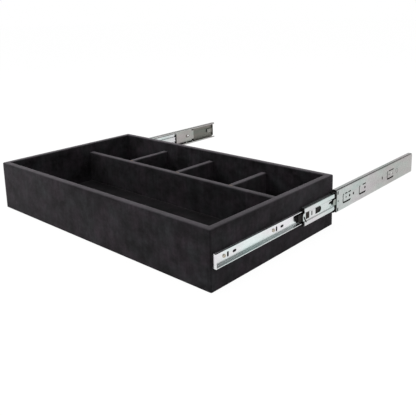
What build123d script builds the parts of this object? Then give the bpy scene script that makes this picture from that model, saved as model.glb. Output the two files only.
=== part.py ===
from build123d import *
from math import atan2, tan
import os

os.makedirs("parts", exist_ok=True)

# A velvet-covered jewellery drawer with a full-extension ball slide on each side.
# The origin is under the middle of the box, on its lower face. X is across, Y runs back, Z is up.
# Both slides are drawn right out, so their members stand out behind the box.

# Box, outside sizes over the velvet
BOX_WIDTH = 609.6
BOX_DEPTH = 355.6
BOX_HEIGHT = 101.6
CORNER_RADIUS = 3.0
RIM_RADIUS = 2.6

# Boards and cloth
WALL_BOARD = 12.0
DIVIDER_BOARD = 12.0
BOTTOM_BOARD = 9.0
VELVET = 0.8
FLOOR_PAD = 2.0
FLOOR_PAD_EDGE = 0.8

# Compartments
REAR_COMPARTMENTS = 4
REAR_COMPARTMENT_DEPTH = 108.0
DIVIDER_DROP = 21.0

# Joinery
REBATE = 5.0
DADO_DEPTH = 4.0
SPLINE_THICKNESS = 3.0
SPLINE_WIDTH = 10.0
SPLINE_END_MARGIN = 14.0
GLUE_GAP = 0.05
PAD_GAP = 0.3

# Slide members, over the whole slide
SLIDE_HEIGHT = 45.5
SLIDE_THICKNESS = 12.7
SHEET = 1.2
DRAWER_MEMBER_SETBACK = 4.5
DRAWER_MEMBER_REAR_GAP = 1.1
CABINET_MEMBER_LEAD = 0.5
INTERMEDIATE_HOME_SETBACK = 24.5
INTERMEDIATE_REAR_SHORTFALL = 25.5
CABINET_BEND = 3.2
INTERMEDIATE_BEND = 2.8
DRAWER_BEND = 1.6
CABINET_LIP = 2.0
CABINET_LIP_BEND = 1.5
CABINET_RETURN = 4.0
CABINET_CORNER = 2.0
INTERMEDIATE_LIP = 2.0

# Length over which two members still overlap when they are drawn right out
INNER_OVERLAP = 115.5
OUTER_OVERLAP = 191.0

# Margin by which a cutting shape runs past what it cuts
CUT = 1.0

# Ball races
BALL_DIAMETER = 4.76
RACE_CLEARANCE = 0.05
RACE_DEPTH = 0.35
OUTER_RACE_AT = 6.4
INNER_RACE_AT = 4.4
POCKET_CLEARANCE = 0.1
CAGE_STRIP = 1.2

# Ball cages
OUTER_CAGE_SHEET = 0.4
INNER_CAGE_SHEET = 0.5
CAGE_GAP = 0.25
OUTER_CAGE_INSET = 8.0
OUTER_CAGE_SHORTFALL = 42.0
OUTER_STRIP_OVERHANG = 18.0
OUTER_CAGE_EDGE = 1.2
OUTER_FLANGE_LOW = 8.0
OUTER_FLANGE_OVERHANG = 12.4
OUTER_LEDGE = 0.8
OUTER_TAB_LENGTH = 8.0
OUTER_TAB_LOW = 12.7
OUTER_TONGUE_LENGTH = 19.5
OUTER_TONGUE_WIDTH = 12.0
OUTER_BALLS_PER_ROW = 10
INNER_CAGE_LEAD = 3.0
INNER_CAGE_REAR_INSET = 3.5
INNER_CAGE_NOTCH_REACH = 2.0
INNER_BALLS_PER_ROW = 7
BALL_END_MARGIN = 9.0

# Sunk middle of the intermediate web, between its two raised bands
WEB_STEP = 1.5
SUNK_HALF_HEIGHT = 7.0
SLOPE_HEIGHT = 2.0
TONGUE_LENGTH = 3.0
TONGUE_RADIUS = 3.0

# Drawer member holes: groups of a screw hole and two slots, the last group behind the lever
FIRST_SCREW_PLACE = 24.9
HOLE_PITCH = 128.0
LAST_SCREW_GAP = 8.9
UPRIGHT_SLOT_OFFSET = 8.8
LONG_SLOT_OFFSET = 24.8
UPRIGHT_SLOT_HEIGHT = 9.0
UPRIGHT_SLOT_WIDTH = 4.2
LONG_SLOT_LENGTH = 9.0
LONG_SLOT_HEIGHT = 4.5

# Mounting screws
SCREW_DIAMETER = 3.5
SCREW_LENGTH = 12.0
SCREW_HEAD_DIAMETER = 6.2
SCREW_HEAD_HEIGHT = 1.5
SCREW_RECESS_WIDTH = 1.1
SCREW_RECESS_LENGTH = 4.0
SCREW_RECESS_DEPTH = 0.8
SCREW_CLEARANCE = 0.05

# Release lever
LEVER_LEAD = 14.5
LEVER_LENGTH = 52.0
LEVER_PADDLE_LENGTH = 18.0
LEVER_PADDLE_HEIGHT = 14.6
LEVER_NECK_HEIGHT = 8.0
LEVER_THICKNESS = 3.2
LEVER_PADDLE_THICKNESS = 5.2
LEVER_NUB_LENGTH = 2.5
LEVER_NUB_HEIGHT = 4.0
LEVER_GAP = 0.25
LEVER_WINDOW_LENGTH = 22.0
LEVER_WINDOW_HEIGHT = 18.0
LEVER_WINDOW_RADIUS = 4.0
LEVER_EDGE = 0.25
LEVER_SPRING_LENGTH = 26.0
LEVER_SPRING_GAP = 1.5
LEVER_SPRING_SHEET = 1.0
RIVET_PLACE = 34.0
RIVET_DIAMETER = 4.0
RIVET_HEAD_DIAMETER = 7.0
RIVET_HEAD_HEIGHT = 1.0
RIVET_CLEARANCE = 0.05

# Intermediate member openings, as places behind the front of its flanges
CATCH_WINDOW_PLACE = 5.6
CATCH_WINDOW_LENGTH = 11.8
CATCH_WINDOW_HEIGHT = 12.6
WINDOW_RAISE = 1.2
CATCH_FLANGE = 1.8
CATCH_FLANGE_SHEET = 0.9
CATCH_FLANGE_HALF = 8.4
CATCH_RIBS = 3
CATCH_RIB_WIDTH = 1.6
CATCH_RIB_DEPTH = 0.6
CATCH_CLEARANCE = 0.1
THIN_SLOT_PLACE = 26.0
THIN_SLOT_WIDTH = 3.4
THIN_SLOT_HEIGHT = 9.0
ROUND_WINDOW_PLACE = 38.0
ROUND_WINDOW_LENGTH = 20.0
ROUND_WINDOW_HEIGHT = 11.2
LATCH_SLOT_PLACE = 2.9
LATCH_SLOT_DROP = 4.2
LATCH_SLOT_LENGTH = 13.5
LATCH_SLOT_WIDTH = 3.4
LATCH_SLOT_TILT = -60.0
STOP_WINDOW_PLACE = 85.0
STOP_WINDOW_LENGTH = 19.0
STOP_WINDOW_HEIGHT = 10.4
STOP_WINDOW_DROP = 0.3
STOP_POCKET_DEPTH = 0.6

# Plastic strip along the rear edge of the intermediate web, inside
REAR_STRIP_AT = 7.2
REAR_STRIP_LENGTH = 5.5
REAR_STRIP_TOOTH_LENGTH = 2.0
REAR_STRIP_TOOTH_HEIGHT = 3.6
REAR_STRIP_TOOTH_LEVELS = (-11.5, -4.0, 4.0, 11.5)

# Cabinet member, as places behind its front end
LANCE_LOW = 10.8
LANCE_HIGH = 9.6
LANCE_LOWER_CUT = 3.6
LANCE_UPPER_CUT = 2.4
LANCE_END_CUT = 2.6
LANCE_CORNER = 4.6
LANCES = (
    (23.0, 32.0, ((9.0, 18.0), (22.0, 32.0))),
    (89.0, 29.5, ((15.0, 29.5),)),
    (218.0, 33.0, ((9.0, 32.0),)),
)
FIXING_HOLE_PLACES = (50.0, 65.7, 114.8, 243.7)
FIXING_HOLE_DIAMETER = 5.6
PILOT_HOLE_PLACES = (5.0, 36.0, 228.5)
PILOT_HOLE_DIAMETER = 3.6
RING_PLACE = 267.5
RING_DIAMETER = 11.0
RING_WIDTH = 1.2
RING_DEPTH = 0.4
CABINET_SLOT_PLACE = 194.5
CABINET_SLOT_HEIGHT = 7.0
CABINET_SLOT_WIDTH = 4.2
FRONT_NOTCH_PLACE = 4.0
FRONT_NOTCH_LEVEL = 16.6
FRONT_NOTCH_WIDTH = 4.0
FRONT_NOTCH_HEIGHT = 7.2
WEB_GROOVE_LEVEL = 9.0
WEB_GROOVE_WIDTH = 3.0
WEB_GROOVE_DEPTH = 0.35
CAGE_HOLE_INSET = 26.0
CAGE_HOLE_LENGTH = 15.0
CAGE_HOLE_HEIGHT = 9.0

# Rear stop inside the cabinet member
STOP_HALF_HEIGHT = 6.0
STOP_TIP_AT = 7.9
STOP_CAP_LENGTH = 6.0
STOP_END_HALF_HEIGHT = 17.0
BUMPER_LENGTH = 12.5
BUMPER_END_GAP = 0.5
BUMPER_SIDE_GAP = 0.6
BUMPER_EDGE = 0.8

# Worked out from the sizes above
wall = WALL_BOARD + 2 * VELVET
divider = DIVIDER_BOARD + 2 * VELVET
divider_top = BOX_HEIGHT - DIVIDER_DROP
inside_x = BOX_WIDTH / 2 - wall
inside_y = BOX_DEPTH / 2 - wall
long_divider_y = inside_y - REAR_COMPARTMENT_DEPTH - divider / 2
rear_width = (2 * inside_x - (REAR_COMPARTMENTS - 1) * divider) / REAR_COMPARTMENTS
cross_divider_x = [
    -inside_x + (i + 1) * rear_width + (i + 0.5) * divider for i in range(REAR_COMPARTMENTS - 1)
]
slide_level = BOX_HEIGHT / 2

slide_length = BOX_DEPTH - DRAWER_MEMBER_SETBACK - DRAWER_MEMBER_REAR_GAP
intermediate_length = slide_length - INTERMEDIATE_HOME_SETBACK - INTERMEDIATE_REAR_SHORTFALL
drawer_member_rear = DRAWER_MEMBER_SETBACK + slide_length
intermediate_front = drawer_member_rear - INNER_OVERLAP
intermediate_rear = intermediate_front + intermediate_length
cabinet_front = intermediate_rear - OUTER_OVERLAP
outer_cage_front = cabinet_front + OUTER_CAGE_INSET
outer_cage_length = intermediate_length - OUTER_CAGE_SHORTFALL
inner_cage_front = intermediate_front - INNER_CAGE_LEAD
inner_cage_rear = drawer_member_rear - INNER_CAGE_REAR_INSET
lever_front = intermediate_front - LEVER_LEAD
home_inset = CABINET_MEMBER_LEAD + INTERMEDIATE_HOME_SETBACK
stop_front = cabinet_front + home_inset + intermediate_length + BUMPER_END_GAP + BUMPER_LENGTH
first_screw = DRAWER_MEMBER_SETBACK + FIRST_SCREW_PLACE
screw_setbacks = [first_screw, first_screw + HOLE_PITCH, lever_front + LEVER_LENGTH + LAST_SCREW_GAP]

ball_radius = BALL_DIAMETER / 2
race_radius = ball_radius + RACE_CLEARANCE
cabinet_half = SLIDE_HEIGHT / 2
outer_race_level = cabinet_half - SHEET + RACE_DEPTH - race_radius
intermediate_half = outer_race_level - race_radius + RACE_DEPTH
inner_race_level = intermediate_half - SHEET + RACE_DEPTH - race_radius
drawer_half = inner_race_level - race_radius + RACE_DEPTH

cabinet_web = SLIDE_THICKNESS - SHEET
outer_cage_face = cabinet_web - CAGE_GAP
band_face = outer_cage_face - OUTER_CAGE_SHEET - CAGE_GAP
sunk_face = band_face - WEB_STEP
inner_cage_face = sunk_face - SHEET - CAGE_GAP
drawer_lip = inner_cage_face - INNER_CAGE_SHEET - CAGE_GAP

# How much nearer the middle the slopes of the intermediate web start on its inner face
sheet_shift = SHEET * tan(atan2(WEB_STEP, SLOPE_HEIGHT) / 2)


def block(x, y, z):
    """A box between two places on each axis."""
    size = [b - a for a, b in (x, y, z)]
    middle = [(a + b) / 2 for a, b in (x, y, z)]
    return Pos(*middle) * Box(*size)


def rectangle(x, y):
    """A rectangle between two places on each axis of a sketch."""
    return Pos((x[0] + x[1]) / 2, (y[0] + y[1]) / 2) * Rectangle(x[1] - x[0], y[1] - y[0])


def save(name, *solids):
    """Write one named piece, or one group of like pieces, to its own file."""
    shape = solids[0] if len(solids) == 1 else Compound(children=list(solids))
    export_step(shape, f"parts/{name}.step")


# The four walls: one mitred frame of boards, then the cloth that wraps it


def frame_ring(skin, radius, corner):
    """The frame of the four walls, set in from the outside by skin, with both rim edges rounded."""
    outside = block(
        (-BOX_WIDTH / 2 + skin, BOX_WIDTH / 2 - skin),
        (-BOX_DEPTH / 2 + skin, BOX_DEPTH / 2 - skin),
        (0, BOX_HEIGHT - skin),
    )
    outside = fillet(outside.edges().filter_by(Axis.Z), corner)
    reach_x = inside_x + skin
    reach_y = inside_y + skin
    ring = outside - block((-reach_x, reach_x), (-reach_y, reach_y), (-CUT, BOX_HEIGHT))
    return fillet(ring.edges().group_by(Axis.Z)[-1], radius)


def bottom_space(gap):
    """The space in the rebate that the bottom board fills, less a gap at its edges."""
    reach_x = inside_x + VELVET + REBATE - gap
    reach_y = inside_y + VELVET + REBATE - gap
    return block((-reach_x, reach_x), (-reach_y, reach_y), (0, BOTTOM_BOARD))


def long_divider_space(gap, end):
    """The long divider's board, with its ends let into the side walls by end."""
    reach = inside_x + VELVET + end
    half = DIVIDER_BOARD / 2 + gap
    return block(
        (-reach, reach),
        (long_divider_y - half, long_divider_y + half),
        (BOTTOM_BOARD, divider_top - VELVET + gap),
    )


def cross_divider_space(x, gap, end):
    """A cross divider's board, let into the long divider and the back wall by end."""
    half = DIVIDER_BOARD / 2 + gap
    return block(
        (x - half, x + half),
        (long_divider_y + DIVIDER_BOARD / 2 - end, inside_y + VELVET + end),
        (BOTTOM_BOARD, divider_top - VELVET + gap),
    )


def spline(x_sign, y_sign, gap):
    """The key across one mitre."""
    inset = VELVET + WALL_BOARD / 2
    height = BOX_HEIGHT - VELVET - BOTTOM_BOARD - 2 * SPLINE_END_MARGIN + 2 * gap
    middle = BOTTOM_BOARD + (BOX_HEIGHT - VELVET - BOTTOM_BOARD) / 2
    key = Box(SPLINE_WIDTH + 2 * gap, SPLINE_THICKNESS + 2 * gap, height)
    place = Pos(x_sign * (BOX_WIDTH / 2 - inset), y_sign * (BOX_DEPTH / 2 - inset), middle)
    return place * Rot(0, 0, -45 * x_sign * y_sign) * key


boards = frame_ring(VELVET, RIM_RADIUS - VELVET, CORNER_RADIUS - VELVET)
boards -= bottom_space(0)
boards -= long_divider_space(GLUE_GAP, DADO_DEPTH + GLUE_GAP)
for x in cross_divider_x:
    boards -= cross_divider_space(x, GLUE_GAP, DADO_DEPTH + GLUE_GAP)

corners = [(sx, sy) for sx in (-1, 1) for sy in (-1, 1)]
for sx, sy in corners:
    boards -= spline(sx, sy, GLUE_GAP)
save("corner_splines", *[spline(sx, sy, 0) for sx, sy in corners])

# Screw holes in the two side boards and the cloth over them
screw_holes = [
    Pos(side * BOX_WIDTH / 2, y - BOX_DEPTH / 2, slide_level)
    * Rot(0, 90, 0)
    * Cylinder(SCREW_DIAMETER / 2 + SCREW_CLEARANCE, 2 * (SCREW_LENGTH + SCREW_CLEARANCE))
    for side in (-1, 1)
    for y in screw_setbacks
]
for hole in screw_holes:
    boards -= hole

half_x = BOX_WIDTH / 2
half_y = BOX_DEPTH / 2
reach = wall + RIM_RADIUS
end_outline = [
    (-half_x, -half_y),
    (half_x, -half_y),
    (half_x - reach, reach - half_y),
    (reach - half_x, reach - half_y),
]
side_outline = [
    (half_x, -half_y),
    (half_x, half_y),
    (half_x - reach, half_y - reach),
    (half_x - reach, reach - half_y),
]


def mitred(outline, turn):
    """The board of the frame inside one mitred outline."""
    wedge = extrude(Rot(0, 0, turn) * make_face(Polyline(*outline, close=True)), amount=BOX_HEIGHT)
    return boards & wedge


save("front_board", mitred(end_outline, 0))
save("back_board", mitred(end_outline, 180))
save("right_side_board", mitred(side_outline, 0))
save("left_side_board", mitred(side_outline, 180))
save("bottom_board", bottom_space(GLUE_GAP))

cloth = frame_ring(0, RIM_RADIUS, CORNER_RADIUS)
cloth -= frame_ring(VELVET, RIM_RADIUS - VELVET, CORNER_RADIUS - VELVET)
cloth -= bottom_space(0)
cloth -= long_divider_space(0, DADO_DEPTH)
for x in cross_divider_x:
    cloth -= cross_divider_space(x, 0, DADO_DEPTH)
for hole in screw_holes:
    cloth -= hole
save("outer_velvet", cloth)

# Dividers: a board let into the walls, and a strip of velvet folded over its top


def rounded_top(shape, along, radius):
    """The shape with its two top edges that run along an axis rounded."""
    return fillet(shape.edges().filter_by(along).group_by(Axis.Z)[-1], radius)


long_board = rounded_top(long_divider_space(0, DADO_DEPTH), Axis.X, RIM_RADIUS - VELVET)
long_cover = block(
    (-inside_x, inside_x),
    (long_divider_y - divider / 2, long_divider_y + divider / 2),
    (BOTTOM_BOARD, divider_top),
)
long_cover = rounded_top(long_cover, Axis.X, RIM_RADIUS) - long_board
for x in cross_divider_x:
    long_board -= cross_divider_space(x, GLUE_GAP, DADO_DEPTH + GLUE_GAP)
    long_cover -= cross_divider_space(x, 0, DADO_DEPTH)
save("long_divider_board", long_board)
save("long_divider_velvet", long_cover)

for i, x in enumerate(cross_divider_x, 1):
    cross_board = rounded_top(cross_divider_space(x, 0, DADO_DEPTH), Axis.Y, RIM_RADIUS - VELVET)
    cross_cover = block(
        (x - divider / 2, x + divider / 2),
        (long_divider_y + divider / 2, inside_y),
        (BOTTOM_BOARD, divider_top),
    )
    cross_cover = rounded_top(cross_cover, Axis.Y, RIM_RADIUS) - cross_board
    save(f"cross_divider_board_{i}", cross_board)
    save(f"cross_divider_velvet_{i}", cross_cover)

# Floor pads: one velvet-covered pad in each compartment


def floor_pad(x, y):
    """A pad that fills one compartment's floor, with its upper edges eased."""
    pad = block(
        (x[0] + PAD_GAP, x[1] - PAD_GAP),
        (y[0] + PAD_GAP, y[1] - PAD_GAP),
        (BOTTOM_BOARD, BOTTOM_BOARD + FLOOR_PAD),
    )
    return fillet(pad.edges().group_by(Axis.Z)[-1], FLOOR_PAD_EDGE)


front_depth = (-inside_y, long_divider_y - divider / 2)
rear_depth = (long_divider_y + divider / 2, inside_y)
save("front_floor_pad", floor_pad((-inside_x, inside_x), front_depth))
for i in range(REAR_COMPARTMENTS):
    start = -inside_x + i * (rear_width + divider)
    save(f"rear_floor_pad_{i + 1}", floor_pad((start, start + rear_width), rear_depth))

# Slides. Both are the same part, the left one turned over. A slide is drawn with X outward from the
# box side, Y back from the box front and Z up from the slide's middle.


def channel(web, lip, half, bend):
    """The section of a rolled channel: web and lip are its two faces, half is half its height."""
    turn = 1 if lip > web else -1
    at_web = Axis.X if turn > 0 else -Axis.X
    outside = rectangle(sorted((web, lip)), (-half, half))
    outside = fillet(outside.vertices().group_by(at_web)[0], bend)
    hollow = rectangle(sorted((web + turn * SHEET, lip + turn * CUT)), (-half + SHEET, half - SHEET))
    hollow = fillet(hollow.vertices().group_by(at_web)[0], bend - SHEET)
    return outside - hollow


def returned_channel(web, lip, half, bend, lip_bend, turned):
    """The section of a channel whose two lips are turned back towards each other by turned."""
    outside = rectangle((lip, web), (-half, half))
    outside = fillet(outside.vertices().group_by(Axis.X)[-1], bend)
    outside = fillet(outside.vertices().group_by(Axis.X)[0], lip_bend)
    hollow = rectangle((lip + SHEET, web - SHEET), (-half + SHEET, half - SHEET))
    hollow = fillet(hollow.vertices().group_by(Axis.X)[-1], bend - SHEET)
    hollow = fillet(hollow.vertices().group_by(Axis.X)[0], lip_bend - SHEET)
    mouth = rectangle((lip - CUT, lip + SHEET + CUT), (-half + turned, half - turned))
    return outside - hollow - mouth


def races(at, level):
    """The two ball races, as circles to cut from a section."""
    return Sketch() + [Pos(at, side * level) * Circle(race_radius) for side in (-1, 1)]


def bar(section, front, length):
    """A section carried straight back from front."""
    across = Plane(origin=(0, front, 0), x_dir=(1, 0, 0), z_dir=(0, -1, 0))
    return extrude(across * section, amount=-length)


def through(outline, x):
    """An outline drawn in Y and Z, carried through between two places on X."""
    return extrude(Plane.YZ.offset(x[0]) * outline, amount=x[1] - x[0])


def ball_places(front, length, count):
    """Evenly spaced places for one row of balls."""
    pitch = (length - 2 * BALL_END_MARGIN) / (count - 1)
    return [front + BALL_END_MARGIN + i * pitch for i in range(count)]


def balls(places, at, level):
    """Two rows of balls."""
    return [Pos(at, y, side * level) * Sphere(ball_radius) for side in (-1, 1) for y in places]


def ball_strip(y, x, level, places, at):
    """A strip between two places on X, with a pocket round each ball."""
    strip = block(x, y, (level - CAGE_STRIP / 2, level + CAGE_STRIP / 2))
    for place in places:
        strip -= Pos(at, place, level) * Cylinder(ball_radius + POCKET_CLEARANCE, 2 * CAGE_STRIP)
    return strip


def make_drawer_member():
    """The narrow channel on the box side, closed at its front end."""
    section = channel(0, drawer_lip, drawer_half, DRAWER_BEND)
    member = bar(section - races(INNER_RACE_AT, inner_race_level), DRAWER_MEMBER_SETBACK, slide_length)
    end = rectangle((SHEET / 2, drawer_lip), (-drawer_half + SHEET / 2, drawer_half - SHEET / 2))
    member += bar(end, DRAWER_MEMBER_SETBACK, SHEET)
    web = (-CUT, SHEET + CUT)
    for y in screw_setbacks:
        member -= through(Pos(y, 0) * Circle(SCREW_DIAMETER / 2 + SCREW_CLEARANCE), web)
        upright = SlotOverall(UPRIGHT_SLOT_HEIGHT, UPRIGHT_SLOT_WIDTH, rotation=90)
        member -= through(Pos(y + UPRIGHT_SLOT_OFFSET, 0) * upright, web)
        long_slot = SlotOverall(LONG_SLOT_LENGTH, LONG_SLOT_HEIGHT)
        member -= through(Pos(y + LONG_SLOT_OFFSET, 0) * long_slot, web)
    window = Pos(lever_front + LEVER_WINDOW_LENGTH / 2, 0) * RectangleRounded(
        LEVER_WINDOW_LENGTH, LEVER_WINDOW_HEIGHT, LEVER_WINDOW_RADIUS
    )
    member -= through(window, web)
    rivet_hole = Pos(lever_front + RIVET_PLACE, 0) * Circle(RIVET_DIAMETER / 2 + RIVET_CLEARANCE)
    return member - through(rivet_hole, web)


def make_screws():
    """Three pan-head screws with crossed recesses."""
    screws = []
    for y in screw_setbacks:
        shank = through(Pos(y, 0) * Circle(SCREW_DIAMETER / 2), (-SCREW_LENGTH, SHEET))
        head = through(Pos(y, 0) * Circle(SCREW_HEAD_DIAMETER / 2), (SHEET, SHEET + SCREW_HEAD_HEIGHT))
        head = fillet(head.edges().group_by(Axis.X)[-1], SCREW_HEAD_HEIGHT / 2)
        top = SHEET + SCREW_HEAD_HEIGHT
        cross = Rectangle(SCREW_RECESS_LENGTH, SCREW_RECESS_WIDTH) + Rectangle(
            SCREW_RECESS_WIDTH, SCREW_RECESS_LENGTH
        )
        head -= through(Pos(y, 0) * cross, (top - SCREW_RECESS_DEPTH, top + CUT))
        screws.append(shank + head)
    return screws


def make_lever():
    """The plastic lever: a thumb paddle in front, a neck over the rivet and a thin spring arm."""
    base = SHEET + LEVER_GAP
    top = base + LEVER_THICKNESS
    front = lever_front
    paddle = Pos(front + LEVER_PADDLE_LENGTH / 2, 0) * RectangleRounded(
        LEVER_PADDLE_LENGTH, LEVER_PADDLE_HEIGHT, LEVER_WINDOW_RADIUS
    )
    nub = rectangle((front - LEVER_NUB_LENGTH, front + LEVER_PADDLE_LENGTH / 2), (0, LEVER_NUB_HEIGHT))
    arm_end = front + LEVER_LENGTH
    neck_half = LEVER_NECK_HEIGHT / 2
    neck = rectangle((front + LEVER_PADDLE_LENGTH / 2, arm_end), (-neck_half, neck_half))
    lever = through(paddle, (base, base + LEVER_PADDLE_THICKNESS)) + through(nub + neck, (base, top))
    lever = chamfer(lever.edges().group_by(Axis.X)[-1], LEVER_EDGE)
    arm_level = neck_half + LEVER_SPRING_GAP
    arm = rectangle(
        (arm_end - LEVER_SPRING_LENGTH, arm_end), (arm_level, arm_level + LEVER_SPRING_SHEET)
    )
    root = rectangle((arm_end - 2 * LEVER_SPRING_SHEET, arm_end), (0, arm_level + LEVER_SPRING_SHEET / 2))
    lever += through(arm + root, (base, top - LEVER_EDGE))
    hole = Pos(front + RIVET_PLACE, 0) * Circle(RIVET_DIAMETER / 2 + RIVET_CLEARANCE)
    return lever - through(hole, (0, SLIDE_THICKNESS))


def make_rivet():
    """The rivet that holds the lever to the drawer member."""
    y = lever_front + RIVET_PLACE
    head_at = SHEET + LEVER_GAP + LEVER_THICKNESS + RIVET_CLEARANCE
    shank = through(Pos(y, 0) * Circle(RIVET_DIAMETER / 2), (0, head_at))
    head = through(Pos(y, 0) * Circle(RIVET_HEAD_DIAMETER / 2), (head_at, head_at + RIVET_HEAD_HEIGHT))
    return shank + fillet(head.edges().group_by(Axis.X)[-1], RIVET_HEAD_HEIGHT / 2)


def catch_window(gap):
    """The window in the front of the intermediate web, less a gap at its edges."""
    start = intermediate_front + CATCH_WINDOW_PLACE
    end = start + CATCH_WINDOW_LENGTH
    half = CATCH_WINDOW_HEIGHT / 2 - gap
    return rectangle((start + gap, end - gap), (WINDOW_RAISE - half, WINDOW_RAISE + half))


def stop_window():
    """The round-ended window near the middle of the intermediate web."""
    radius = STOP_WINDOW_HEIGHT / 2
    start = intermediate_front + STOP_WINDOW_PLACE
    rest = rectangle((start + radius, start + STOP_WINDOW_LENGTH), (-radius, radius))
    return Pos(0, -STOP_WINDOW_DROP) * (Pos(start + radius, 0) * Circle(radius) + rest)


def web_line(face, half, shift):
    """One face of the intermediate web in section: sunk in the middle, with a slope up to each band."""
    foot = SUNK_HALF_HEIGHT - shift
    brow = foot + SLOPE_HEIGHT
    low = face - WEB_STEP
    return [(face, -half), (face, -brow), (low, -foot), (low, foot), (face, brow), (face, half)]


def make_intermediate():
    """The middle member: its web is sunk along the middle, and its ends are notched."""
    inner_face = band_face - SHEET
    half = intermediate_half - INTERMEDIATE_BEND
    outer = web_line(band_face, half, 0)
    inner = web_line(inner_face, half, sheet_shift)
    section = channel(band_face, INTERMEDIATE_LIP, intermediate_half, INTERMEDIATE_BEND)
    section -= rectangle((inner_face - CUT, band_face + CUT), (-half, half))
    section += make_face(Polyline(*outer, *reversed(inner), close=True))
    section -= races(OUTER_RACE_AT, outer_race_level)
    section -= races(INNER_RACE_AT, inner_race_level)
    member = bar(section, intermediate_front, intermediate_length)

    front = intermediate_front
    tongue_y = (front - TONGUE_LENGTH, front + TONGUE_LENGTH)
    tongue = rectangle(tongue_y, (-SUNK_HALF_HEIGHT, SUNK_HALF_HEIGHT))
    tongue = fillet(tongue.vertices().group_by(Axis.X)[0], TONGUE_RADIUS)
    member += through(tongue, (sunk_face - SHEET, sunk_face))
    web = (sunk_face - SHEET - CUT, band_face + CUT)
    member -= through(catch_window(0), web)
    thin_slot = SlotOverall(THIN_SLOT_HEIGHT, THIN_SLOT_WIDTH, rotation=90)
    member -= through(Pos(front + THIN_SLOT_PLACE, WINDOW_RAISE) * thin_slot, web)
    window_radius = ROUND_WINDOW_HEIGHT / 2
    window_start = front + ROUND_WINDOW_PLACE
    round_at = window_start + ROUND_WINDOW_LENGTH - window_radius
    window = rectangle((window_start, round_at), (-window_radius, window_radius))
    window += Pos(round_at, 0) * Circle(window_radius)
    member -= through(Pos(0, WINDOW_RAISE) * window, web)
    latch = Pos(front + LATCH_SLOT_PLACE, -LATCH_SLOT_DROP) * SlotOverall(
        LATCH_SLOT_LENGTH, LATCH_SLOT_WIDTH, rotation=LATCH_SLOT_TILT
    )
    member -= through(latch, web)
    stop_place = front + STOP_WINDOW_PLACE
    upper = rectangle((stop_place, stop_place + STOP_WINDOW_LENGTH), (0, STOP_WINDOW_HEIGHT))
    member -= through(stop_window() & upper, web)
    member -= through(stop_window(), (sunk_face - STOP_POCKET_DEPTH, band_face + CUT))
    return member


def make_rear_strip():
    """The plastic strip inside the rear edge of the intermediate web, toothed along its front."""
    front = intermediate_rear - REAR_STRIP_LENGTH
    half = intermediate_half - INTERMEDIATE_BEND
    back = web_line(band_face - SHEET, half, sheet_shift)
    section = make_face(Polyline(*back, (REAR_STRIP_AT, half), (REAR_STRIP_AT, -half), close=True))
    strip = bar(section, front, REAR_STRIP_LENGTH)
    for level in REAR_STRIP_TOOTH_LEVELS:
        gap = Pos(front, level) * Rectangle(2 * REAR_STRIP_TOOTH_LENGTH, REAR_STRIP_TOOTH_HEIGHT)
        strip -= through(gap, (0, SLIDE_THICKNESS))
    return strip


def make_catch():
    """The plastic catch: a flange behind the web and a ribbed plug in the window."""
    back = sunk_face - SHEET
    start = intermediate_front + CATCH_WINDOW_PLACE
    flange_y = (start - CATCH_FLANGE, start + CATCH_WINDOW_LENGTH + CATCH_FLANGE)
    flange = rectangle(flange_y, (-CATCH_FLANGE_HALF, CATCH_FLANGE_HALF))
    catch = through(flange, (back - CATCH_FLANGE_SHEET, back))
    catch += through(catch_window(CATCH_CLEARANCE), (back, sunk_face - CATCH_CLEARANCE))
    pitch = CATCH_WINDOW_LENGTH / (CATCH_RIBS + 1)
    groove = Rectangle(CATCH_RIB_WIDTH, CATCH_WINDOW_HEIGHT - CATCH_FLANGE)
    groove_floor = sunk_face - CATCH_CLEARANCE - CATCH_RIB_DEPTH
    for i in range(CATCH_RIBS):
        place = Pos(start + (i + 1) * pitch, WINDOW_RAISE)
        catch -= through(place * groove, (groove_floor, sunk_face + CUT))
    return catch


def make_inner_cage(places):
    """The plastic cage between the drawer and intermediate members: a web and two ball strips."""
    y = (inner_cage_front, inner_cage_rear)
    x = (INTERMEDIATE_LIP, inner_cage_face)
    reach = inner_race_level + CAGE_STRIP / 2
    web = rectangle(y, (-reach, reach))
    window_end = intermediate_front + CATCH_WINDOW_PLACE + CATCH_WINDOW_LENGTH
    notch_end = window_end + CATCH_FLANGE + INNER_CAGE_NOTCH_REACH
    notch_half = CATCH_FLANGE_HALF + INNER_CAGE_NOTCH_REACH
    web -= rectangle((y[0] - CUT, notch_end), (-notch_half, notch_half))
    cage = through(web, (inner_cage_face - INNER_CAGE_SHEET, inner_cage_face))
    for side in (-1, 1):
        cage += ball_strip(y, x, side * inner_race_level, places, INNER_RACE_AT)
    return cage


def make_outer_cage():
    """The steel plate of the outer cage, with a rounded tongue and two notched rear corners."""
    front = outer_cage_front
    rear = front + outer_cage_length
    reach = outer_race_level + CAGE_STRIP / 2 - OUTER_CAGE_EDGE
    plate = rectangle((front, rear), (-reach, reach))
    tongue_radius = OUTER_TONGUE_WIDTH / 2
    tongue_end = front - OUTER_TONGUE_LENGTH + tongue_radius
    plate += rectangle((tongue_end, front + CUT), (-tongue_radius, tongue_radius))
    plate += Pos(tongue_end, 0) * Circle(tongue_radius)
    plate -= Pos(rear - CAGE_HOLE_INSET, 0) * SlotOverall(CAGE_HOLE_LENGTH, CAGE_HOLE_HEIGHT)
    for side in (-1, 1):
        corner = sorted((side * OUTER_TAB_LOW, side * (reach + CUT)))
        plate -= rectangle((rear - OUTER_TAB_LENGTH, rear + CUT), corner)
    return through(plate, (outer_cage_face - OUTER_CAGE_SHEET, outer_cage_face))


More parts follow.
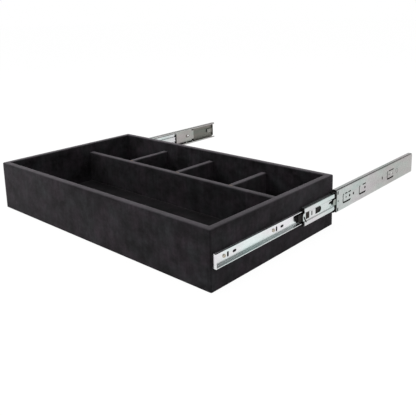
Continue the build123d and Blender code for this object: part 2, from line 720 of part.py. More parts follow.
def make_outer_strips(places):
    """The two plastic ball strips, each with a ledge under the plate and tabs at the plate's ends."""
    rear = outer_cage_front + outer_cage_length
    strip_y = (outer_cage_front - OUTER_STRIP_OVERHANG, rear)
    strip_x = (CABINET_LIP + SHEET + CAGE_GAP, outer_cage_face - OUTER_CAGE_SHEET)
    flange_y = (outer_cage_front - OUTER_FLANGE_OVERHANG, outer_cage_front)
    flange_x = (outer_cage_face - OUTER_CAGE_SHEET, outer_cage_face)
    tab_y = (rear - OUTER_TAB_LENGTH, rear)
    ledge_x = (flange_x[0] - OUTER_LEDGE, flange_x[0])
    strips = []
    for side in (-1, 1):
        edge = side * (outer_race_level + CAGE_STRIP / 2)
        strip = ball_strip(strip_y, strip_x, side * outer_race_level, places, OUTER_RACE_AT)
        strip += block(flange_x, flange_y, sorted((side * OUTER_FLANGE_LOW, edge)))
        strip += block(flange_x, tab_y, sorted((side * OUTER_TAB_LOW, edge)))
        ledge_z = sorted((side * (intermediate_half + CAGE_GAP), edge))
        strips.append(strip + block(ledge_x, (flange_y[0], rear), ledge_z))
    return strips


def lance(start, length, dashes):
    """The cut round a lanced tab, which stays joined at its rear end and in places along its top."""
    end = start + length
    cut = fillet(rectangle((start, end), (-LANCE_LOW, LANCE_HIGH)).vertices(), LANCE_CORNER)
    top = (LANCE_HIGH - LANCE_UPPER_CUT, LANCE_HIGH)
    tab = rectangle((start + LANCE_END_CUT, end + CUT), (LANCE_LOWER_CUT - LANCE_LOW, top[0]))
    cut -= fillet(tab.vertices().group_by(Axis.X)[0], LANCE_CORNER - LANCE_END_CUT)
    cut -= rectangle((start + LANCE_CORNER, end), top)
    for dash in dashes:
        cut += rectangle((start + dash[0], start + dash[1]), top)
    return cut


def make_cabinet_member():
    """The wide channel that is screwed to the cabinet wall."""
    section = returned_channel(
        SLIDE_THICKNESS, CABINET_LIP, cabinet_half, CABINET_BEND, CABINET_LIP_BEND, CABINET_RETURN
    )
    section -= races(OUTER_RACE_AT, outer_race_level)
    groove_x = (cabinet_web - CUT, cabinet_web + WEB_GROOVE_DEPTH)
    for side in (-1, 1):
        level = side * WEB_GROOVE_LEVEL
        groove_z = (level - WEB_GROOVE_WIDTH / 2, level + WEB_GROOVE_WIDTH / 2)
        section -= rectangle(groove_x, groove_z)
    front = cabinet_front
    member = bar(section, front, slide_length)
    outline = rectangle((front, front + slide_length), (-cabinet_half, cabinet_half))
    outline = fillet(outline.vertices().group_by(Axis.X)[0], CABINET_CORNER)
    member &= through(outline, (0, SLIDE_THICKNESS))
    web = (cabinet_web - CUT, SLIDE_THICKNESS + CUT)
    for start, length, dashes in LANCES:
        member -= through(lance(front + start, length, dashes), web)
    cuts = [Pos(front + y, 0) * Circle(FIXING_HOLE_DIAMETER / 2) for y in FIXING_HOLE_PLACES]
    cuts += [Pos(front + y, 0) * Circle(PILOT_HOLE_DIAMETER / 2) for y in PILOT_HOLE_PLACES]
    slot = SlotOverall(CABINET_SLOT_HEIGHT, CABINET_SLOT_WIDTH, rotation=90)
    cuts.append(Pos(front + CABINET_SLOT_PLACE, 0) * slot)
    notch = SlotOverall(FRONT_NOTCH_HEIGHT, FRONT_NOTCH_WIDTH, rotation=90)
    cuts += [Pos(front + FRONT_NOTCH_PLACE, side * FRONT_NOTCH_LEVEL) * notch for side in (-1, 1)]
    for cut in cuts:
        member -= through(cut, web)
    ring = Circle(RING_DIAMETER / 2) - Circle(RING_DIAMETER / 2 - RING_WIDTH)
    ring_x = (SLIDE_THICKNESS - RING_DEPTH, SLIDE_THICKNESS + CUT)
    return member - through(Pos(front + RING_PLACE, 0) * ring, ring_x)


def make_rear_stop():
    """The bent steel stop welded inside the cabinet member, with a taller wall at the very end."""
    end = cabinet_front + slide_length
    z = (-STOP_HALF_HEIGHT, STOP_HALF_HEIGHT)
    stop = block((STOP_TIP_AT, cabinet_web), (stop_front, stop_front + SHEET), z)
    stop += block((STOP_TIP_AT, STOP_TIP_AT + SHEET), (stop_front, stop_front + STOP_CAP_LENGTH), z)
    stop += block((cabinet_web - SHEET, cabinet_web), (stop_front, end), z)
    end_z = (-STOP_END_HALF_HEIGHT, STOP_END_HALF_HEIGHT)
    return stop + block((STOP_TIP_AT, cabinet_web), (end - SHEET, end), end_z)


def make_rear_bumper():
    """The pale nylon bumper on the front of the stop, which the pushed-home intermediate member meets."""
    x = (STOP_TIP_AT, outer_cage_face - OUTER_CAGE_SHEET - BUMPER_SIDE_GAP)
    half = STOP_HALF_HEIGHT - BUMPER_SIDE_GAP
    bumper = block(x, (stop_front - BUMPER_LENGTH, stop_front), (-half, half))
    return fillet(bumper.edges().group_by(Axis.Y)[0], BUMPER_EDGE)


outer_places = ball_places(outer_cage_front, outer_cage_length, OUTER_BALLS_PER_ROW)
inner_places = ball_places(inner_cage_front, inner_cage_rear - inner_cage_front, INNER_BALLS_PER_ROW)
slide_pieces = {
    "drawer_member": [make_drawer_member()],
    "mounting_screws": make_screws(),
    "release_lever": [make_lever()],
    "lever_rivet": [make_rivet()],
    "inner_cage": [make_inner_cage(inner_places)],
    "inner_balls": balls(inner_places, INNER_RACE_AT, inner_race_level),
    "intermediate_member": [make_intermediate()],
    "front_catch": [make_catch()],
    "rear_strip": [make_rear_strip()],
    "outer_cage": [make_outer_cage()],
    "outer_ball_strips": make_outer_strips(outer_places),
    "outer_balls": balls(outer_places, OUTER_RACE_AT, outer_race_level),
    "cabinet_member": [make_cabinet_member()],
    "rear_stop": [make_rear_stop()],
    "rear_bumper": [make_rear_bumper()],
}
slide_places = {
    "right": Pos(BOX_WIDTH / 2, -BOX_DEPTH / 2, slide_level),
    "left": Pos(-BOX_WIDTH / 2, -BOX_DEPTH / 2, slide_level) * Rot(0, 180, 0),
}
for side, place in slide_places.items():
    for name, solids in slide_pieces.items():
        save(f"{side}_{name}", *[place * solid for solid in solids])
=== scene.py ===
import math
import bmesh
import bpy
from mathutils import Matrix, Vector, noise


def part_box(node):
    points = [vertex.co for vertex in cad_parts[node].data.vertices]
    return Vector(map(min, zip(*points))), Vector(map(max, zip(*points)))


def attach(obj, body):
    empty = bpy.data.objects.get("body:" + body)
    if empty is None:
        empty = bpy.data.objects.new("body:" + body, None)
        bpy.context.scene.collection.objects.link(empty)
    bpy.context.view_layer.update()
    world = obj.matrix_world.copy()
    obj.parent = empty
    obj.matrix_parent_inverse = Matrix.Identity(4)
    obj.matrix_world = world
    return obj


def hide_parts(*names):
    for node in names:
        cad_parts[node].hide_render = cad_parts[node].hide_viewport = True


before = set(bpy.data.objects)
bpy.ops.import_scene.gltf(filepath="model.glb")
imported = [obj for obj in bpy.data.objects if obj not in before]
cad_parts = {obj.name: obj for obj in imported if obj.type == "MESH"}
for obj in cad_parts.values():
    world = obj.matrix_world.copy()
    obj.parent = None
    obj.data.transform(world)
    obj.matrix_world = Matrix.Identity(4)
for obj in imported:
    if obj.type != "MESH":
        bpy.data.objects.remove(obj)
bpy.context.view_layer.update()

MM = 0.001
scene = bpy.context.scene

# Black velvet wrap. One strip of short-pile cotton velvet is glued over the four walls: up the
# outside, over the rounded rim and down the inside to the floor. Its pile leans a little, so it
# shows upright streaks and worn, greyer places. Along the rim's top its colour is painted lighter,
# as painted sheen.

PILE_STEP = 10 * MM
RIM_ROUND = 2.6 * MM
RIM_SEGMENTS = 5
CLOTH_THICKNESS = 0.8 * MM
WALL_UNEVENNESS = 0.25 * MM
RIM_UNEVENNESS = 0.35 * MM
SMOOTH_ANGLE = math.radians(40)
VELVET_TONE = 0.0145
VELVET_HUE = (1.02, 0.92, 1.05)
VELVET_SHEEN = 0.4
RIM_PAINTED_SHEEN = (0.033, 0.031, 0.034)

skin_low, skin_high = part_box("outer_velvet")
long_low, long_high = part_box("long_divider_velvet")
floor_level = long_low.z
wall_thickness = skin_high.x - long_high.x


def add_block(name, low, high):
    """A box between two corners, with its place in its mesh, left open in edit mode."""
    bpy.ops.object.select_all(action="DESELECT")
    bpy.ops.mesh.primitive_cube_add(size=1, location=(low + high) / 2)
    piece = bpy.context.object
    piece.name = name
    piece.data.name = name
    piece.scale = high - low
    bpy.ops.object.transform_apply(location=True, rotation=True, scale=True)
    bpy.ops.object.mode_set(mode="EDIT")
    return piece


def select_faces(piece, wanted):
    """Select only the faces whose middle and normal pass a test."""
    bpy.ops.mesh.select_mode(type="FACE")
    bpy.ops.mesh.select_all(action="DESELECT")
    mesh = bmesh.from_edit_mesh(piece.data)
    for face in mesh.faces:
        face.select_set(wanted(face.calc_center_median(), face.normal))
    bmesh.update_edit_mesh(piece.data)


def select_edges(piece, wanted):
    """Select only the edges whose two ends pass a test."""
    bpy.ops.mesh.select_mode(type="EDGE")
    bpy.ops.mesh.select_all(action="DESELECT")
    mesh = bmesh.from_edit_mesh(piece.data)
    for edge in mesh.edges:
        edge.select_set(wanted(edge.verts[0].co, edge.verts[1].co))
    bmesh.update_edit_mesh(piece.data)


def cut_in_steps(low, high, step):
    """Cut the open piece across X, Y and Z at even steps, so that its cloth can follow a bend."""
    for axis in range(3):
        count = round((high[axis] - low[axis]) / step)
        normal = Vector([axis == i for i in range(3)])
        for i in range(1, count):
            place = Vector(low)
            place[axis] += i * (high[axis] - low[axis]) / count
            bpy.ops.mesh.select_all(action="SELECT")
            bpy.ops.mesh.bisect(plane_co=place, plane_no=normal)


def ruffle(piece, depth, rim_depth, rim_level, scale=34.0):
    """Sink each point a little along its normal, so that glued cloth isn't dead flat."""
    for point in piece.data.vertices:
        amount = rim_depth if point.co.z > rim_level else depth
        patch = 0.5 + 0.5 * noise.noise(point.co * scale)
        fine = 0.5 + 0.5 * noise.noise(point.co * scale * 4 + Vector((7, 3, 1)))
        point.co -= point.normal * amount * (0.7 * patch + 0.3 * fine)


def make_cloth(piece, thickness):
    """Give a finished face of cloth its thickness, inwards, and smooth its shading."""
    solid = piece.modifiers.new("cloth", "SOLIDIFY")
    solid.thickness = thickness
    solid.offset = -1
    bpy.ops.object.modifier_apply(modifier=solid.name)
    bpy.ops.object.shade_smooth_by_angle(angle=SMOOTH_ANGLE)


wrap = add_block("velvet_wrap", skin_low, skin_high)
select_faces(wrap, lambda middle, normal: normal.z > 0.9)
bpy.ops.mesh.inset(thickness=wall_thickness)
bpy.ops.mesh.extrude_region_move(TRANSFORM_OT_translate={"value": (0, 0, floor_level - skin_high.z)})
select_faces(wrap, lambda middle, normal: abs(normal.z) > 0.9 and middle.z < skin_high.z - MM)
bpy.ops.mesh.delete(type="FACE")


def is_rim_or_corner(a, b):
    """True for the rim's edges and for the four upright corners outside."""
    on_rim = min(a.z, b.z) > skin_high.z - MM and (abs(a.x - b.x) < MM or abs(a.y - b.y) < MM)
    upright = abs(a.x - b.x) < MM and abs(a.y - b.y) < MM and abs(a.x) > skin_high.x - MM
    return on_rim or upright


select_edges(wrap, is_rim_or_corner)
bpy.ops.mesh.bevel(offset=RIM_ROUND, segments=RIM_SEGMENTS)
cut_in_steps(skin_low, skin_high, PILE_STEP)
bpy.ops.object.mode_set(mode="OBJECT")
ruffle(wrap, WALL_UNEVENNESS, RIM_UNEVENNESS, skin_high.z - 2 * RIM_ROUND)
make_cloth(wrap, CLOTH_THICKNESS)


def start_material(name, rough, metallic=0.0):
    """A new material: its node tree, its shader, and the object's own coordinates."""
    finish = bpy.data.materials.new(name)
    finish.use_nodes = True
    tree = finish.node_tree
    shader = tree.nodes["Principled BSDF"]
    shader.inputs["Roughness"].default_value = rough
    shader.inputs["Metallic"].default_value = metallic
    place = tree.nodes.new("ShaderNodeTexCoord").outputs["Object"]
    return finish, tree, shader, place


def add_noise(tree, place, stretch, scale, detail=3.0, rough=0.6):
    """A noise pattern, stretched by a factor on each axis. Returns its value."""
    mapping = tree.nodes.new("ShaderNodeMapping")
    mapping.inputs["Scale"].default_value = stretch
    tree.links.new(place, mapping.inputs["Vector"])
    pattern = tree.nodes.new("ShaderNodeTexNoise")
    pattern.inputs["Scale"].default_value = scale
    pattern.inputs["Detail"].default_value = detail
    pattern.inputs["Roughness"].default_value = rough
    tree.links.new(mapping.outputs["Vector"], pattern.inputs["Vector"])
    return pattern.outputs["Fac"]


def add_ramp(tree, value, *stops):
    """A colour ramp over a value, from stops of place and colour. Returns its colour."""
    ramp = tree.nodes.new("ShaderNodeValToRGB")
    points = ramp.color_ramp.elements
    while len(points) < len(stops):
        points.new(0.5)
    for point, (at, colour) in zip(points, stops):
        point.position = at
        point.color = (*colour, 1)
    tree.links.new(value, ramp.inputs["Fac"])
    return ramp.outputs["Color"]


def add_mix(tree, kind, factor, first, second):
    """Two colours mixed in one of Blender's ways. Returns the colour."""
    mix = tree.nodes.new("ShaderNodeMix")
    mix.data_type = "RGBA"
    mix.blend_type = kind
    if isinstance(factor, (int, float)):
        mix.inputs["Factor"].default_value = factor
    else:
        tree.links.new(factor, mix.inputs["Factor"])
    for socket, value in ((mix.inputs[6], first), (mix.inputs[7], second)):
        if isinstance(value, tuple):
            socket.default_value = (*value, 1)
        else:
            tree.links.new(value, socket)
    return mix.outputs[2]


def add_bump(tree, shader, height, distance, strength=1.0):
    """Raise the shader's surface by a height pattern."""
    bump = tree.nodes.new("ShaderNodeBump")
    bump.inputs["Distance"].default_value = distance
    bump.inputs["Strength"].default_value = strength
    tree.links.new(height, bump.inputs["Height"])
    tree.links.new(bump.outputs["Normal"], shader.inputs["Normal"])


def add_axis(tree, place, axis):
    """One of a place's three coordinates."""
    split = tree.nodes.new("ShaderNodeSeparateXYZ")
    tree.links.new(place, split.inputs[0])
    return split.outputs[axis]


def add_span(tree, value, low, high):
    """A value that rises from 0 to 1 between two levels."""
    span = tree.nodes.new("ShaderNodeMapRange")
    span.inputs["From Min"].default_value = low
    span.inputs["From Max"].default_value = high
    tree.links.new(value, span.inputs["Value"])
    return span.outputs["Result"]


def make_velvet(name, tone, sheen, fold=None):
    """Black velvet: patches, upright streaks of pressed pile, and a painted sheen, a lighter colour
    added along a fold's top.
    """
    finish, tree, shader, place = start_material(name, 0.95)
    patches = add_noise(tree, place, (1, 1, 1.2), 22.0, detail=5.0, rough=0.72)
    streaks = add_noise(tree, place, (1, 1, 0.12), 150.0, detail=3.0)
    hue = add_noise(tree, place, (1, 1, 1), 30.0, detail=3.0)
    nap = add_noise(tree, place, (1, 1, 0.5), 1900.0, detail=2.0)
    low, high = (tuple(depth * part for part in VELVET_HUE) for depth in (0.15 * tone, 2.0 * tone))
    colour = add_ramp(tree, patches, (0.34, low), (0.68, high))
    colour = add_mix(tree, "MULTIPLY", 0.55, colour,
                     add_ramp(tree, streaks, (0.3, (0.5, 0.5, 0.5)), (0.7, (1.4, 1.4, 1.4))))
    colour = add_mix(tree, "MULTIPLY", 1.0, colour,
                     add_ramp(tree, hue, (0.38, (0.9, 1.03, 1.0)), (0.62, (1.12, 0.95, 1.06))))
    if fold is not None:
        # Painted sheen: a light grey is added to the colour along the fold's top, standing in for the
        # sheen of light grazing the rounded rim.
        painted_sheen_band = add_span(tree, add_axis(tree, place, "Z"), fold - 2.0 * MM, fold - 0.3 * MM)
        colour = add_mix(tree, "ADD", painted_sheen_band, colour, RIM_PAINTED_SHEEN)
    tree.links.new(colour, shader.inputs["Base Color"])
    shader.inputs["Specular IOR Level"].default_value = 0.15
    shader.inputs["Sheen Weight"].default_value = sheen
    shader.inputs["Sheen Roughness"].default_value = 0.35
    shader.inputs["Sheen Tint"].default_value = (1.0, 0.91, 0.98, 1.0)
    add_bump(tree, shader, nap, 0.12 * MM, 0.7)
    return finish


wrap.data.materials.append(make_velvet("black_velvet", VELVET_TONE, VELVET_SHEEN, fold=skin_high.z))
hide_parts("outer_velvet")
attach(wrap, "drawer")

# Divider covers. A strip of the same velvet is folded over the top of each plywood divider and
# glued down both faces, so the fold is round and a little uneven, and its ends butt on the walls.

# The dividers' velvet gets the same painted sheen along their tops.
divider_velvet = make_velvet("black_velvet_divider", VELVET_TONE, VELVET_SHEEN, fold=long_high.z)


def cover_divider(name, node, run):
    """The velvet over one divider, whose top edges run along an axis."""
    low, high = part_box(node)
    cover = add_block(name, low, high)
    across = 1 - run
    select_faces(cover, lambda middle, normal: normal.z < -0.9 or abs(normal[run]) > 0.9)
    bpy.ops.mesh.delete(type="FACE")
    select_edges(cover, lambda a, b: min(a.z, b.z) > high.z - MM and abs(a[across] - b[across]) < MM)
    bpy.ops.mesh.bevel(offset=RIM_ROUND, segments=RIM_SEGMENTS)
    cut_in_steps(low, high, PILE_STEP)
    bpy.ops.object.mode_set(mode="OBJECT")
    ruffle(cover, WALL_UNEVENNESS, RIM_UNEVENNESS, high.z - 2 * RIM_ROUND)
    make_cloth(cover, CLOTH_THICKNESS)
    cover.data.materials.append(divider_velvet)
    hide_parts(node)
    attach(cover, "drawer")


cover_divider("velvet_long_divider", "long_divider_velvet", 0)
for i in (1, 2, 3):
    cover_divider(f"velvet_cross_divider_{i}", f"cross_divider_velvet_{i}", 1)

# Floor pads. Each compartment has a thin board under velvet, pushed down on to the bottom. The
# cloth is pulled round its edge, so the pad is full in the middle and thins out at its sides.

PAD_ROUND = 0.8 * MM
PAD_CROWN = 0.5 * MM
PAD_SHOULDER = 14 * MM
# The pads' velvet is painted about a third as bright as the walls', as painted shade on the
# compartments' floors, and its sheen is weaker.
PAD_SHADED_TONE = 0.005
PAD_SHEEN = 0.08

shaded_pad_velvet = make_velvet("black_velvet_pad", PAD_SHADED_TONE, PAD_SHEEN)
for node in ("front_floor_pad", *[f"rear_floor_pad_{i}" for i in (1, 2, 3, 4)]):
    low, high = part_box(node)
    pad = add_block(f"velvet_{node}", low, high)
    select_edges(pad, lambda a, b: min(a.z, b.z) > high.z - MM)
    bpy.ops.mesh.bevel(offset=PAD_ROUND, segments=3)
    cut_in_steps(low, high, PILE_STEP)
    bpy.ops.object.mode_set(mode="OBJECT")
    for point in pad.data.vertices:
        if point.co.z > low.z + MM:
            inset = min(point.co.x - low.x, high.x - point.co.x, point.co.y - low.y, high.y - point.co.y)
            fullness = min(1.0, inset / PAD_SHOULDER) ** 0.5
            point.co.z -= PAD_CROWN * (1 - fullness + 0.3 * noise.noise(point.co * 30))
    bpy.ops.object.shade_smooth_by_angle(angle=SMOOTH_ANGLE)
    pad.data.materials.append(shaded_pad_velvet)
    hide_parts(node)
    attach(pad, "drawer")

# Plywood boards. The walls, the bottom and the dividers are birch plywood, sanded and glued up
# with a key across each mitre. Only their lower edges and the bottom's underside can be seen.


def dress(finish, *nodes):
    """Give a CAD node's faces a finish."""
    for name in nodes:
        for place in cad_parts[name].material_slots:
            place.material = finish


def make_plywood(name, grain, ply):
    """Birch plywood: grain drawn out along one axis, and plies as bands across another."""
    finish, tree, shader, place = start_material(name, 0.62)
    figure = add_noise(tree, place, grain, 60.0, detail=5.0)
    pores = add_noise(tree, place, grain, 420.0, detail=2.0)
    wood = add_ramp(tree, figure, (0.3, (0.50, 0.33, 0.18)), (0.55, (0.63, 0.45, 0.27)),
                    (0.8, (0.70, 0.53, 0.34)))
    mapping = tree.nodes.new("ShaderNodeMapping")
    mapping.inputs["Scale"].default_value = ply
    tree.links.new(place, mapping.inputs["Vector"])
    plies = tree.nodes.new("ShaderNodeTexWave")
    plies.inputs["Scale"].default_value = 110.0
    plies.inputs["Distortion"].default_value = 0.4
    tree.links.new(mapping.outputs["Vector"], plies.inputs["Vector"])
    bands = add_ramp(tree, plies.outputs["Fac"], (0.35, (0.72, 0.66, 0.58)), (0.6, (1.0, 1.0, 1.0)))
    tree.links.new(add_mix(tree, "MULTIPLY", 0.8, wood, bands), shader.inputs["Base Color"])
    add_bump(tree, shader, pores, 0.1 * MM, 0.5)
    return finish


dress(make_plywood("birch_along_x", (0.06, 1, 1), (0, 1, 0)),
      "front_board", "back_board", "long_divider_board")
dress(make_plywood("birch_along_y", (1, 0.06, 1), (1, 0, 0)),
      "left_side_board", "right_side_board", *[f"cross_divider_board_{i}" for i in (1, 2, 3)])
dress(make_plywood("birch_flat", (0.06, 1, 1), (0, 0, 1)), "bottom_board", "corner_splines")

# Slide channels. Each is roll-formed from cold-rolled strip and zinc plated, with a clear blue
# passivate that leaves a faint rainbow. The rolling lines run lengthwise. Each cabinet member's
# inner faces are painted darker and rougher, as painted shade inside the channel, and that
# member's colour is darker towards its rear end.

cabinet_low, cabinet_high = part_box("right_cabinet_member")
SHEET = 1.2 * MM
SLIDE_LEVEL = skin_high.z / 2
INNER_WEB_X = cabinet_high.x - SHEET
INNER_FLANGE_Z = (cabinet_high.z - cabinet_low.z) / 2 - SHEET
PAINTED_SHADE_REACH = 0.4 * MM
LIP_X = cabinet_low.x + SHEET / 2
CHANNEL_PAINTED_SHADE = (0.56, 0.53, 0.50)
SHADED_FACE_ROUGHNESS = (0.5, 0.5, 0.5)
FADE_Y = (cabinet_low.y + 60 * MM, cabinet_high.y - 120 * MM)
FADE_TINT = (0.76, 0.74, 0.72)


def add_size(tree, value):
    """A value without its sign."""
    size = tree.nodes.new("ShaderNodeMath")
    size.operation = "ABSOLUTE"
    tree.links.new(value, size.inputs[0])
    return size.outputs[0]


def add_product(tree, first, second):
    """Two values multiplied."""
    product = tree.nodes.new("ShaderNodeMath")
    product.operation = "MULTIPLY"
    tree.links.new(first, product.inputs[0])
    tree.links.new(second, product.inputs[1])
    return product.outputs[0]


def add_channel_painted_shade(tree, place):
    """A value of 1 on the inner faces of a cabinet member, where painted shade goes."""
    across = add_size(tree, add_axis(tree, place, "X"))
    before_web = add_span(tree, across, INNER_WEB_X + PAINTED_SHADE_REACH, INNER_WEB_X + 0.9 * PAINTED_SHADE_REACH)
    behind_lip = add_span(tree, across, LIP_X, LIP_X + 0.1 * MM)
    centre = tree.nodes.new("ShaderNodeMath")
    centre.operation = "SUBTRACT"
    centre.inputs[1].default_value = SLIDE_LEVEL
    tree.links.new(add_axis(tree, place, "Z"), centre.inputs[0])
    between = add_span(tree, add_size(tree, centre.outputs[0]), INNER_FLANGE_Z + 0.3 * MM, INNER_FLANGE_Z)
    return add_product(tree, add_product(tree, before_web, behind_lip), between)


def make_zinc(name, grey, rough, spangle, shade_mask=None, shade_tint=None, fade=(1, 1, 1)):
    """Zinc plating: its grey, its roughness, its crystal patches, any painted shade, and any fade along
    its length.
    """
    finish, tree, shader, place = start_material(name, rough, metallic=1.0)
    dark, light = (tuple(depth * part for part in grey) for depth in (0.91, 1.08))
    clouds = add_noise(tree, place, (1, 0.35, 1), 55.0, detail=4.0)
    rolled = add_noise(tree, place, (1, 0.012, 1), 900.0, detail=2.0)
    rainbow = add_noise(tree, place, (1, 0.5, 1.6), 24.0, detail=1.5)
    plating = add_ramp(tree, clouds, (0.3, dark), (0.7, light))
    tint = add_ramp(tree, rainbow, (0.32, (0.88, 1.0, 0.97)), (0.5, (1.0, 1.0, 1.0)),
                    (0.68, (1.0, 0.93, 0.975)))
    colour = add_mix(tree, "MULTIPLY", 1.0, plating, tint)
    crystals = tree.nodes.new("ShaderNodeTexVoronoi")
    crystals.inputs["Scale"].default_value = 260.0
    tree.links.new(place, crystals.inputs["Vector"])
    cells = add_ramp(tree, crystals.outputs["Color"], (0.2, (0.86, 0.86, 0.87)), (0.8, (1.0, 1.0, 1.0)))
    colour = add_mix(tree, "MULTIPLY", spangle, colour, cells)
    colour = add_mix(tree, "MULTIPLY", add_span(tree, add_axis(tree, place, "Y"), *FADE_Y), colour, fade)
    worn = tree.nodes.new("ShaderNodeMapRange")
    worn.inputs["To Min"].default_value = rough - 0.06
    worn.inputs["To Max"].default_value = rough + 0.08
    tree.links.new(clouds, worn.inputs["Value"])
    dull = worn.outputs["Result"]
    # Painted shade: where the mask is 1, the colour is multiplied by a darker tint and the roughness is
    # raised.
    if shade_mask is not None:
        shaded_faces = shade_mask(tree, place)
        colour = add_mix(tree, "MULTIPLY", shaded_faces, colour, shade_tint)
        dull = add_mix(tree, "MIX", shaded_faces, dull, SHADED_FACE_ROUGHNESS)
    tree.links.new(colour, shader.inputs["Base Color"])
    tree.links.new(dull, shader.inputs["Roughness"])
    add_bump(tree, shader, rolled, 0.02 * MM, 0.5)
    return finish


sides = ("left", "right")
bright_zinc = make_zinc("bright_zinc", (0.79, 0.80, 0.81), 0.22, 0.2)
dress(bright_zinc, *[f"{side}_drawer_member" for side in sides])
dress(make_zinc("middle_zinc", (0.66, 0.68, 0.68), 0.22, 0.25),
      *[f"{side}_intermediate_member" for side in sides])
# The cabinet members' inner faces, and the rear stops that stand inside them, are painted darker as
# painted shade.
dress(make_zinc("channel_zinc", (0.53, 0.54, 0.53), 0.25, 0.6, add_channel_painted_shade, CHANNEL_PAINTED_SHADE, FADE_TINT),
      *[f"{side}_{part}" for side in sides for part in ("cabinet_member", "rear_stop")])

# Ball cage plates. A thin zinc-plated plate joins the two outer ball strips. Its grey is painted
# darker, and its face towards the cabinet web, all but the tongue that stands out in front, is
# painted nearly black, as painted shade in the narrow gap behind the web's slots.

plate_low, plate_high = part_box("right_outer_cage")
TONGUE_REACH = 19.5 * MM
TONGUE_FADE = 4 * MM
PLATE_PAINTED_SHADE = (0.05, 0.04, 0.035)


def add_plate_painted_shade(tree, place):
    """A value of 1 on the plate's face towards the cabinet web, behind its tongue, where painted shade
    goes.
    """
    middle = (plate_low.x + plate_high.x) / 2
    outward = add_span(tree, add_size(tree, add_axis(tree, place, "X")), middle, middle + 0.02 * MM)
    tongue_end = plate_low.y + TONGUE_REACH
    behind = add_span(tree, add_axis(tree, place, "Y"), tongue_end - TONGUE_FADE, tongue_end)
    return add_product(tree, outward, behind)


dress(make_zinc("plate_zinc", (0.385, 0.385, 0.36), 0.3, 0.6, add_plate_painted_shade, PLATE_PAINTED_SHADE),
      *[f"{side}_outer_cage" for side in sides])

# Small steel parts. The mounting screws are hardened and yellow passivated, the lever's rivet is
# bright zinc, and the balls are polished bearing steel.


def make_steel(name, dark, light, rough, scale):
    """A small turned or headed steel part, with a slightly cloudy finish."""
    finish, tree, shader, place = start_material(name, rough, metallic=1.0)
    clouds = add_noise(tree, place, (1, 1, 1), scale, detail=3.0)
    tree.links.new(add_ramp(tree, clouds, (0.3, dark), (0.7, light)), shader.inputs["Base Color"])
    add_bump(tree, shader, clouds, 0.02 * MM, 0.4)
    return finish


dress(make_steel("passivated_zinc", (0.50, 0.44, 0.35), (0.74, 0.69, 0.60), 0.34, 420.0),
      *[f"{side}_mounting_screws" for side in sides])
dress(bright_zinc, *[f"{side}_lever_rivet" for side in sides])
dress(make_steel("bearing_steel", (0.55, 0.55, 0.56), (0.70, 0.70, 0.71), 0.12, 300.0),
      *[f"{side}_{balls}" for side in sides for balls in ("inner_balls", "outer_balls")])

# Plastic parts. The inner cages, the outer ball strips, the levers, the rear strips and the catches
# are moulded acetal, black or dark brown, with a fine spark-eroded grain. The rear stops' bumpers
# are natural nylon.


def make_moulded(name, dark, light, rough, grain):
    """Moulded plastic: a slightly cloudy colour and a fine grain."""
    finish, tree, shader, place = start_material(name, rough)
    clouds = add_noise(tree, place, (1, 1, 1), 90.0, detail=3.0)
    pits = add_noise(tree, place, (1, 1, 1), grain, detail=1.0)
    tree.links.new(add_ramp(tree, clouds, (0.3, dark), (0.7, light)), shader.inputs["Base Color"])
    shader.inputs["Specular IOR Level"].default_value = 0.12
    add_bump(tree, shader, pits, 0.04 * MM, 0.5)
    return finish


black_plastic = make_moulded("black_plastic", (0.008, 0.007, 0.007), (0.018, 0.015, 0.014), 0.5, 1500.0)
dress(black_plastic, *[f"{side}_{part}" for side in sides
                       for part in ("inner_cage", "outer_ball_strips", "release_lever", "rear_strip")])
dress(make_moulded("brown_plastic", (0.035, 0.028, 0.024), (0.065, 0.052, 0.045), 0.45, 1500.0),
      *[f"{side}_front_catch" for side in sides])
dress(make_moulded("pale_nylon", (0.34, 0.34, 0.31), (0.46, 0.46, 0.43), 0.5, 900.0),
      *[f"{side}_rear_bumper" for side in sides])

# Studio. The drawer stands on a pale floor in a ring of soft light at the horizon, under a dim
# ceiling, with a weak lamp overhead and one to the front left.

FLOOR_REACH = 15.0
BACKDROP_SHARE = 0.9
BACKDROP_GLOW = 1.06


def add_seen_directly(tree):
    """A value of 1 where the camera, a reflection or a view through glass meets the surface."""
    rays = tree.nodes.new("ShaderNodeLightPath")
    total = None
    for kind in ("Is Camera Ray", "Is Glossy Ray", "Is Transmission Ray"):
        if total is None:
            total = rays.outputs[kind]
            continue
        add = tree.nodes.new("ShaderNodeMath")
        add.use_clamp = True
        tree.links.new(total, add.inputs[0])
        tree.links.new(rays.outputs[kind], add.inputs[1])
        total = add.outputs[0]
    return total


bpy.ops.object.select_all(action="DESELECT")
bpy.ops.mesh.primitive_plane_add(size=2 * FLOOR_REACH, location=(0, 0, 0))
studio_floor = bpy.context.object
studio_floor.name = "studio_floor"
paper = bpy.data.materials.new("floor_paper")
paper.use_nodes = True
tree = paper.node_tree
shader = tree.nodes["Principled BSDF"]
shader.inputs["Base Color"].default_value = (0.8, 0.8, 0.8, 1)
shader.inputs["Roughness"].default_value = 0.9
glow = tree.nodes.new("ShaderNodeEmission")
glow.inputs["Strength"].default_value = BACKDROP_GLOW
share = tree.nodes.new("ShaderNodeMath")
share.operation = "MULTIPLY"
share.inputs[1].default_value = BACKDROP_SHARE
tree.links.new(add_seen_directly(tree), share.inputs[0])
blend = tree.nodes.new("ShaderNodeMixShader")
tree.links.new(share.outputs[0], blend.inputs["Fac"])
tree.links.new(shader.outputs[0], blend.inputs[1])
tree.links.new(glow.outputs[0], blend.inputs[2])
tree.links.new(blend.outputs[0], tree.nodes["Material Output"].inputs["Surface"])
studio_floor.data.materials.append(paper)

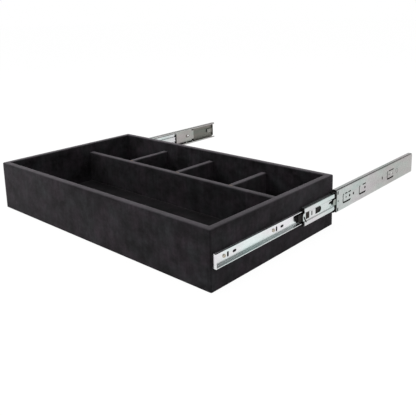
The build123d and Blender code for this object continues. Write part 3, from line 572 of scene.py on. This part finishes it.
world = bpy.data.worlds.new("studio")
scene.world = world
world.use_nodes = True
tree = world.node_tree
height = add_axis(tree, tree.nodes.new("ShaderNodeTexCoord").outputs["Generated"], "Z")
ring = add_ramp(tree, height, (0.05, (1, 1, 1)), (0.3, (0.95, 0.95, 0.95)), (0.42, (0.1, 0.1, 0.1)))
soft = add_ramp(tree, height, (0.05, (0.7, 0.7, 0.7)), (0.5, (0.52, 0.52, 0.52)))
sky = add_mix(tree, "MIX", add_seen_directly(tree), soft, ring)
tree.links.new(sky, tree.nodes["Background"].inputs["Color"])


def add_lamp(name, place, target, size, power):
    """A square soft lamp that points at a target."""
    lamp = bpy.data.lights.new(name, "AREA")
    lamp.size = size
    lamp.energy = power
    holder = bpy.data.objects.new(name, lamp)
    scene.collection.objects.link(holder)
    holder.location = place
    holder.rotation_euler = (Vector(target) - Vector(place)).to_track_quat("-Z", "Y").to_euler()


add_lamp("overhead_lamp", (0.0, 0.3, 2.2), (0, 0.1, 0), 1.6, 20.0)
add_lamp("front_left_lamp", (-1.6, -1.6, 1.4), (-0.1, 0, 0.05), 1.0, 18.0)

# Camera. It looks down a little past the front right corner, about 1.2 m from the box's middle, and
# its lens is shifted so that the box's upright edges lean together no more than in the photograph.

CAMERA_PLACE = (828.2 * MM, -747.9 * MM, 419.7 * MM)
CAMERA_AZIMUTH = 42.483
CAMERA_ELEVATION = 12.244
CAMERA_DIP = -1.390
FRAME_PIXELS = 416
FOCAL_PIXELS = 561.8
AXIS_ROW = 130

camera = bpy.data.cameras.new("photo_camera")
camera.sensor_width = 36
camera.lens = FOCAL_PIXELS / FRAME_PIXELS * camera.sensor_width
camera.shift_y = (AXIS_ROW - FRAME_PIXELS / 2) / FRAME_PIXELS
tripod = bpy.data.objects.new("photo_camera", camera)
scene.collection.objects.link(tripod)
tilt = math.radians(90 - CAMERA_ELEVATION)
dip = math.asin(math.sin(math.radians(CAMERA_DIP)) / math.sin(tilt))
tripod.matrix_world = (
    Matrix.Translation(CAMERA_PLACE)
    @ Matrix.Rotation(math.radians(CAMERA_AZIMUTH), 4, "Z")
    @ Matrix.Rotation(tilt, 4, "X")
    @ Matrix.Rotation(dip, 4, "Z")
)
scene.camera = tripod
scene.view_settings.view_transform = "Standard"
